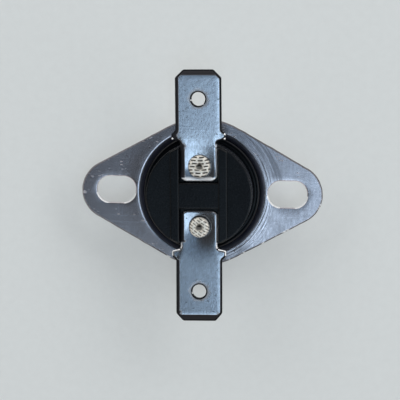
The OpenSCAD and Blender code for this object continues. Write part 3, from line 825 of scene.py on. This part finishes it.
class SWITCH_OT_rivets(bpy.types.Operator):
    """The two rivets: turned shanks with pressed heads, which carry rows of short grooves and a dimple"""
    bl_idname = "switch.rivets"
    bl_label = "Rivets"

    def execute(self, context):
        size, colour = context.scene.switch_sizes, context.scene.switch_colours
        pitch = size.groove_pitch / MM
        finish = grooved("warm_plating", colour.rivet)
        for name, head, place, turn, gap, wide, period in (
                ("rivet_a", 3.1, RIVET_A, 0.04, pitch, 0.12, 0.95),
                ("rivet_b", 2.8, RIVET_B, -0.6, 0.85 * pitch, 0.08, 0.75)):
            low, high = (c.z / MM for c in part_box(name))
            count, radius, seat, foot = 160, head / 2, TAB_TOP + 0.1, TAB_TOP - 0.6
            shell = Shell()
            row = shell.row(circle(*place, 0.7, count), low)
            shell.cap(row, low, False, place)
            # The shank and head wall rows carry mark 1: painted shade round the head's edge.
            row = shell.lathe(row, [(1.25, low), (1.3, low + 0.06), (1.3, low + 0.4), (1.05, low + 0.4),
                                    (1.05, foot), (radius - 0.03, foot), (radius, seat)], place, 1.0)
            depth = size.groove_depth / MM
            self.head(shell, row, place, radius, seat, high, depth, turn, gap, wide, period)
            shell.piece(name + "_head", finish, [name], turn=BASE_TURN, sharp=60)
        return {"FINISHED"}

    def head(self, shell, row, place, radius, seat, high, depth, turn, gap, wide, period):
        """Domed head in rings that shrink to its middle: rim arc, less the grooves and the dimple.

        Grooves lie in wavy courses one gap apart, broken into dashes one period long. The dimple is a steep
        bell whose radius swells three times round.
        """
        dimple_r, dimple_depth, rim_wide = 0.5, 0.22, 0.5
        for r in radius * (1 - np.linspace(0, 1, 70)[1:-1] ** 1.3):
            xy = circle(*place, r, len(row))
            u, v = (xy - place).T
            rim = np.sqrt(np.clip(1 - np.clip((r - radius + rim_wide) / rim_wide, 0, 1) ** 2, 0, 1))
            along = u * math.cos(turn) + v * math.sin(turn) + 0.05 * np.sin(4.3 * v)
            course_at = (v * math.cos(turn) - u * math.sin(turn) + 0.05 * np.sin(2.6 * u + 1)) / gap
            course = np.round(course_at)
            groove = np.clip((wide - np.abs(course_at - course) * gap) / 0.06, 0, 1)
            dash = along / period + 0.5 * (course % 2) + 0.17 * np.sin(2.4 * course)
            cut = groove * np.clip((0.36 - np.abs(dash - np.round(dash))) * period / 0.1 + 0.5, 0, 1)
            pit = np.exp(-(r * (1 + 0.1 * np.sin(3 * np.arctan2(v, u) + 0.6)) / dimple_r) ** 6)
            # Grooves are painted dark; the dimple gets painted shade, darker in its upper half.
            groove_dark_and_shade = np.maximum(cut * (1 - pit), pit * (0.82 + 0.18 * np.clip(v / 0.1, 0, 1)))
            inward = shell.row(xy, seat + (high - seat) * rim - depth * cut * rim - dimple_depth * pit, groove_dark_and_shade)
            shell.band(row, inward)
            row = inward
        shell.cap(row, high - dimple_depth, True, place)


class SWITCH_OT_inner(bpy.types.Operator):
    """Pieces inside: a crowned pin and a leaf bent at its step, and finishes for disc, guide, strip and
    contacts
    """
    bl_idname = "switch.inner"
    bl_label = "Inner pieces"

    def execute(self, context):
        silver = metal("contact_silver", (0.82, 0.81, 0.78), 0.25, (1, 1, 1), 0.15)
        for node, finish in (
                ("bimetal_disc", metal("rolled_bimetal", (0.52, 0.50, 0.46), 0.32)),
                ("pin_guide", moulding("brown_moulding", (0.055, 0.030, 0.018), 0.4)),
                ("moving_contact", silver), ("fixed_contact", silver),
                ("fixed_bracket", metal("strip_brass", (0.70, 0.55, 0.28), 0.28))):
            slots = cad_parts[node].data.materials
            slots.clear()
            slots.append(finish)
        self.pin(moulding("white_ceramic", (0.72, 0.70, 0.64), 0.3))
        self.leaf(metal("rolled_copper_alloy", (0.72, 0.47, 0.32), 0.3))
        return {"FINISHED"}

    def pin(self, finish):
        """Ceramic pin with a crowned tip: the height falls with the square of the radius."""
        radius, crown = 1.0, 0.2
        low, high = (c.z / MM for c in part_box("push_pin"))
        shell = Shell()
        row = shell.row(circle(0, 0, radius - 0.2, 48), low)
        shell.cap(row, low, False)
        rounded = radius * np.cos(np.linspace(0, math.pi / 2, 8)[:-1])
        row = shell.lathe(row, [(radius, low + 0.2), (radius, high - 0.3),
                                *zip(rounded, high - crown * rounded ** 2)])
        shell.cap(row, high, True)
        shell.piece("crowned_pin", finish, ["push_pin"], "pin")

    def leaf(self, finish):
        """Spring leaf that bends at its step: held flat by its rivet, stepped down, then a flat blade."""
        low, high = (c.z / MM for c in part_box("contact_arm"))
        thick, knee, hinge, middle, half = 0.25, 1.5, 2.4, 0.2, 1.5
        tip, root, contact_y = -4.5, 5.65, -3.2
        corners = [(middle - half, tip, 0.5), (middle + half, tip, 0.5),
                   (middle + half, root, 0.3), (middle - half, root, 0.3)]
        across = np.linspace(middle - half + 0.25, middle + half - 0.25, 18)
        creases = [np.column_stack([across, 0 * across + y])
                   for y in (knee - thick / 2, knee, hinge - thick / 2, hinge)]

        def under(x, y):
            return low + (high - thick - low) * np.clip((y - knee) / (hinge - knee), 0, 1)

        shell = Shell()
        plate(shell, [lambda inset: outline(corners, inset, 6, 24),
                      lambda inset: circle(*RIVET_A, 1.15 + inset, 40, True),
                      lambda inset: circle(middle, contact_y, 0.55 + inset, 28, True)],
              [np.array([(0.0, thick, 0), (0.0, 0.05, 0), (0.05, 0.0, 0)])] * 3,
              lambda x, y: under(x, y + thick / 2) + thick, under, 0.3, creases)
        leaf = shell.piece("arm_leaf", finish, ["contact_arm"], "", BASE_TURN)
        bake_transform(leaf)


class SWITCH_OT_stage(bpy.types.Operator):
    """Paper floor, room light, soft boxes, panels overhead and the camera"""
    bl_idname = "switch.stage"
    bl_label = "Stage"

    def execute(self, context):
        scene = context.scene
        scene.view_settings.view_transform = "Standard"
        self.floor(scene, scene.switch_colours.paper, scene.switch_light.paleness)
        self.lights(scene, scene.switch_colours.room, scene.switch_light)
        self.camera(scene)
        return {"FINISHED"}

    def floor(self, scene, paper, paleness):
        """Square of paper in 8 by 8 faces; to the eye and in mirrors, paleness is the share that glows."""
        material, tree, shader = blank("pale_paper")
        tone = ramp(spread(tree, 900, 4), (0.3, shade(paper, 0.985)), (0.7, shade(paper, 1.015)))
        fill(shader, {"Base Color": tone, "Roughness": 0.8, "Specular IOR Level": 0.2})
        path = put(tree, "LightPath").outputs
        seen = maths("MAXIMUM", path["Is Glossy Ray"], path["Is Transmission Ray"])
        seen = maths("MAXIMUM", path["Is Camera Ray"], seen)
        glow = put(tree, "Emission", {"Color": tone, "Strength": 1.0}).outputs[0]
        both = put(tree, "MixShader", {0: times(seen, paleness), 1: shader.outputs[0], 2: glow})
        fill(tree.nodes["Material Output"], {"Surface": both.outputs[0]})

        across, below = 9, 0.00002
        ticks = np.linspace(-4, 4, across)
        x, y = (g.ravel() for g in np.meshgrid(ticks, ticks))
        i = np.arange(across * (across - 1)).reshape(-1, across)[:, :-1].ravel()
        mesh = bpy.data.meshes.new("floor")
        mesh.from_pydata(np.column_stack([x, y, 0 * x - below]).tolist(), [],
                         np.column_stack([i, i + 1, i + across + 1, i + across]).tolist())
        mesh.materials.append(material)
        floor = bpy.data.objects.new("floor", mesh)
        scene.collection.objects.link(floor)

    def lights(self, scene, room, light):
        """Room that dims upwards, soft boxes, which metal mirrors up to a level, and two panels."""
        world = bpy.data.worlds.new("room")
        world.use_nodes = True
        tree = world.node_tree
        up = put(tree, "SeparateXYZ", {"Vector": put(tree, "TexCoord").outputs["Generated"]}).outputs["Z"]
        tone = ramp(up, (0.3, shade(room, light.horizon)), (0.6, shade(room, light.room)))
        fill(tree.nodes["Background"], {"Color": tone})
        scene.world = world

        white, sky, deep_sky = (1.0, 1.0, 1.0), (0.65, 0.83, 1.0), (0.46, 0.71, 1.0)
        box, near_box, roof = (0.66, 0.42), (0.78, 0.6), (0.7, 0.38)
        box_lean = 57
        for swing, side in zip(range(0, 181, 45), ("right", "far_right", "far_side", "far_left", "left")):
            level = getattr(light, side)
            mirrored = min(level, light.mirrored)
            self.panel(side + "_box", mirrored, white, box_lean, swing, box)
            if level > mirrored:
                self.panel(side + "_fill", level - mirrored, white, box_lean, swing, box, glossy=False)
        for swing in (225, 270, 315):
            self.panel("near_box_%d" % swing, light.near, white, 60, swing, near_box, diffuse=False)
        self.panel("overhead_panel", light.overhead, sky, 15.5, 313, roof)
        self.panel("zenith_panel", light.zenith, deep_sky, 5, 0, roof)

    def panel(self, name, level, hue, lean, swing, sides, diffuse=True, glossy=True):
        """Rectangular lamp 1 m away, leaning from the zenith and swung round from +X.

        Level is its brightness; diffuse and glossy say whether dull faces and mirrors show it.
        """
        lean, swing = math.radians(lean), math.radians(swing)
        place = Vector((math.sin(lean) * math.cos(swing), math.sin(lean) * math.sin(swing), math.cos(lean)))
        lamp = bpy.data.lights.new(name, "AREA")
        lamp.shape, lamp.size, lamp.size_y = "RECTANGLE", *sides
        lamp.energy, lamp.color = level * math.pi * sides[0] * sides[1], hue
        out = Vector((math.cos(swing), math.sin(swing), 0))
        axes = Matrix((out.cross(place), place.cross(out.cross(place)), place)).transposed()
        axes.normalize()
        obj = bpy.data.objects.new(name, lamp)
        obj.matrix_world = Matrix.Translation(place) @ axes.to_4x4()
        obj.visible_diffuse, obj.visible_glossy = diffuse, glossy
        bpy.context.scene.collection.objects.link(obj)

    def camera(self, scene):
        """Camera above the part, looking almost straight down and rolled slightly."""
        place, target = Vector((24.62, 27.52, 276.99)) * MM, Vector((-0.045, -0.885, 7.0)) * MM
        roll = math.radians(-1.016)
        ahead = (target - place).normalized()
        side = ahead.cross(Vector((math.sin(roll), math.cos(roll), 0))).normalized()
        camera = bpy.data.objects.new("camera", bpy.data.cameras.new("camera"))
        camera.data.lens, camera.data.sensor_width = 178.29, 36.0
        camera.data.clip_start, camera.data.clip_end = 0.001, 50.0
        axes = Matrix((side, side.cross(ahead), -ahead)).transposed().to_4x4()
        camera.matrix_world = Matrix.Translation(place) @ axes
        scene.collection.objects.link(camera)
        scene.camera = camera


class SWITCH_PT_panel(bpy.types.Panel):
    """Sizes, colours, light and the operators, in the order in which they run"""
    bl_label = "Temperature switch"
    bl_idname = "SWITCH_PT_panel"
    bl_space_type = "VIEW_3D"
    bl_region_type = "UI"
    bl_category = "Switch"

    def draw(self, context):
        for group in (context.scene.switch_sizes, context.scene.switch_colours, context.scene.switch_light):
            box = self.layout.box()
            for key in group.__annotations__:
                box.prop(group, key)
        for operator in OPERATORS:
            self.layout.operator(operator.bl_idname)


OPERATORS = (SWITCH_OT_cup, SWITCH_OT_base, SWITCH_OT_terminals, SWITCH_OT_rivets, SWITCH_OT_inner,
             SWITCH_OT_stage)
GROUPS = {"switch_sizes": SwitchSizes, "switch_colours": SwitchColours, "switch_light": SwitchLight}
CLASSES = (*GROUPS.values(), *OPERATORS, SWITCH_PT_panel)


def register():
    for cls in CLASSES:
        bpy.utils.register_class(cls)
    for key, group in GROUPS.items():
        setattr(bpy.types.Scene, key, PointerProperty(type=group))


def unregister():
    for key in GROUPS:
        delattr(bpy.types.Scene, key)
    for cls in reversed(CLASSES):
        bpy.utils.unregister_class(cls)


def main():
    register()
    bpy.ops.switch.cup()
    bpy.ops.switch.base()
    bpy.ops.switch.terminals()
    bpy.ops.switch.rivets()
    bpy.ops.switch.inner()
    bpy.ops.switch.stage()


if __name__ == "__main__":
    main()
